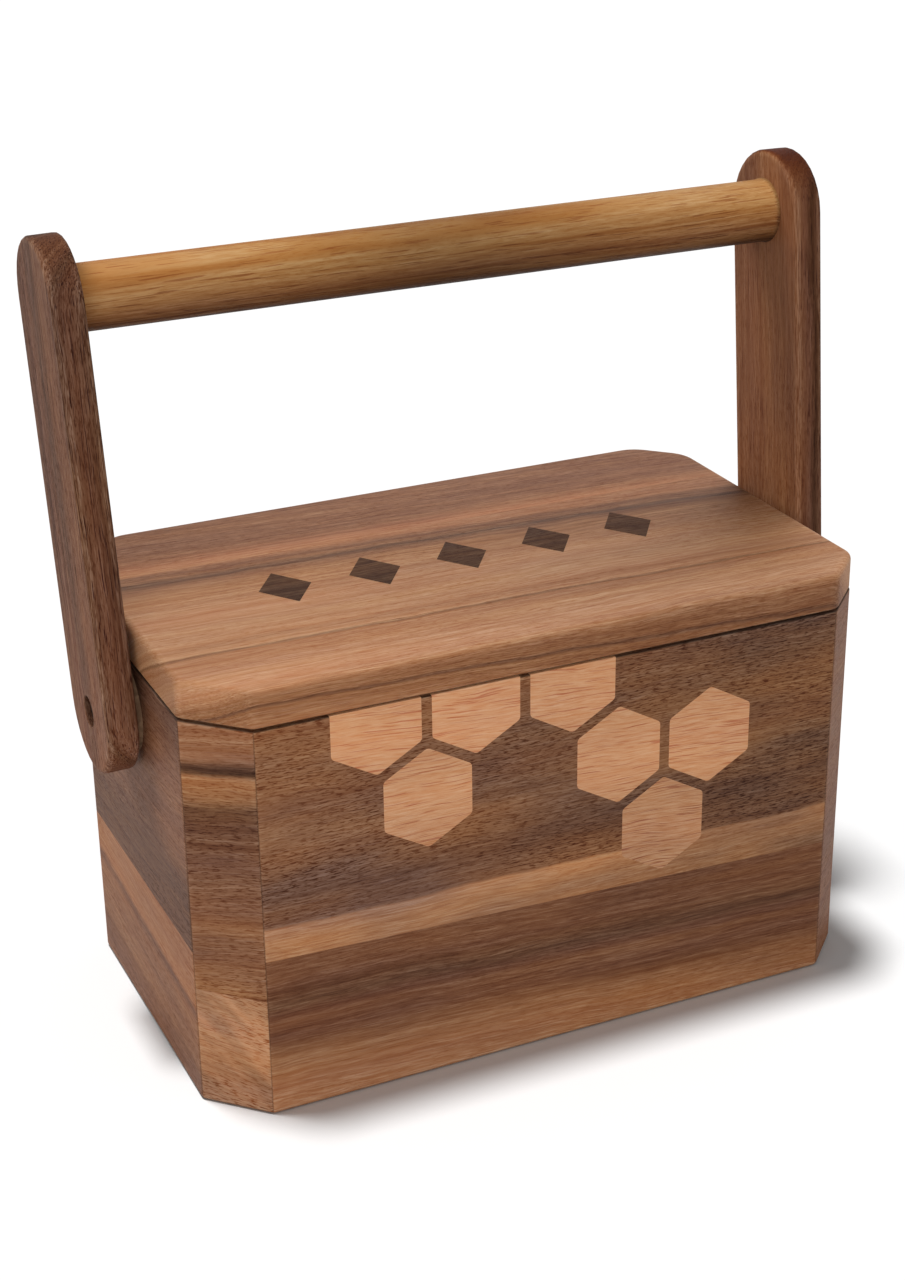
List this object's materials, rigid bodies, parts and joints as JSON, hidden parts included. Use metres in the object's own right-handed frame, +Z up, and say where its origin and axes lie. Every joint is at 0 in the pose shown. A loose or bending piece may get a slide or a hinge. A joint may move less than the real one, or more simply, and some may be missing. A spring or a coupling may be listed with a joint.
{
  "type": "etrog box",
  "caption": "Oblong wooden etrog box with chamfered corner staves, honeycomb inlay, a lift-off lid with rounded edges and a swinging arched carry handle.",
  "frame": {"origin": "middle of the flat underside, on the surface that the box stands on", "axes": "+X along the box to its right, +Y to its back, +Z up"},
  "size_m": [0.203, 0.107, 0.2047],
  "materials": {
    "heartwood": "satin varnish",
    "streaked_wood": "satin varnish",
    "corner_wood": "satin varnish",
    "pale_wood": "satin varnish",
    "lid_wood": "satin varnish",
    "arm_wood": "satin varnish",
    "grip_wood": "satin varnish",
    "maple": "satin varnish",
    "dark_wood": "satin varnish",
    "blackened_steel": "blackened",
    "brass": "plain",
    "fibre": "matte"
  },
  "bodies": {
    "case": {"front_upper_board": "heartwood", "front_lower_board": "streaked_wood", "back_upper_board": "heartwood", "back_lower_board": "streaked_wood", "left_upper_board": "heartwood", "left_lower_board": "streaked_wood", "right_upper_board": "heartwood", "right_lower_board": "streaked_wood", "front_left_corner_upper": "corner_wood", "front_left_corner_lower": "pale_wood", "front_right_corner_upper": "corner_wood", "front_right_corner_lower": "pale_wood", "back_left_corner_upper": "corner_wood", "back_left_corner_lower": "pale_wood", "back_right_corner_upper": "corner_wood", "back_right_corner_lower": "pale_wood", "bottom_board": "streaked_wood", "left_insert": "brass", "right_insert": "brass", "left_pivot_screw": "blackened_steel", "right_pivot_screw": "blackened_steel", "left_washer": "fibre", "right_washer": "fibre", "hex_cell_1": "maple", "hex_cell_2": "maple", "hex_cell_3": "maple", "hex_cell_4": "maple", "hex_cell_5": "maple", "hex_cell_6": "maple", "hex_cell_7": "maple"},
    "handle": {"left_arm": "arm_wood", "right_arm": "arm_wood", "grip": "grip_wood"},
    "lid": {"lid_front_board": "lid_wood", "lid_back_board": "lid_wood", "left_batten": "streaked_wood", "right_batten": "streaked_wood", "batten_screws": "brass", "lid_lozenge_1": "dark_wood", "lid_lozenge_2": "dark_wood", "lid_lozenge_3": "dark_wood", "lid_lozenge_4": "dark_wood", "lid_lozenge_5": "dark_wood"}
  },
  "joints": [
    {"name": "handle_swing", "type": "hinge", "parent": "case", "child": "handle", "pos_m": [0, 0, 0.0905], "axis": [1, 0, 0], "range_deg": [-128, 142]},
    {"name": "lid_lift", "type": "slide", "parent": "case", "child": "lid", "axis": [0, 0, 1], "range_m": [0, 0.06]}
  ]
}
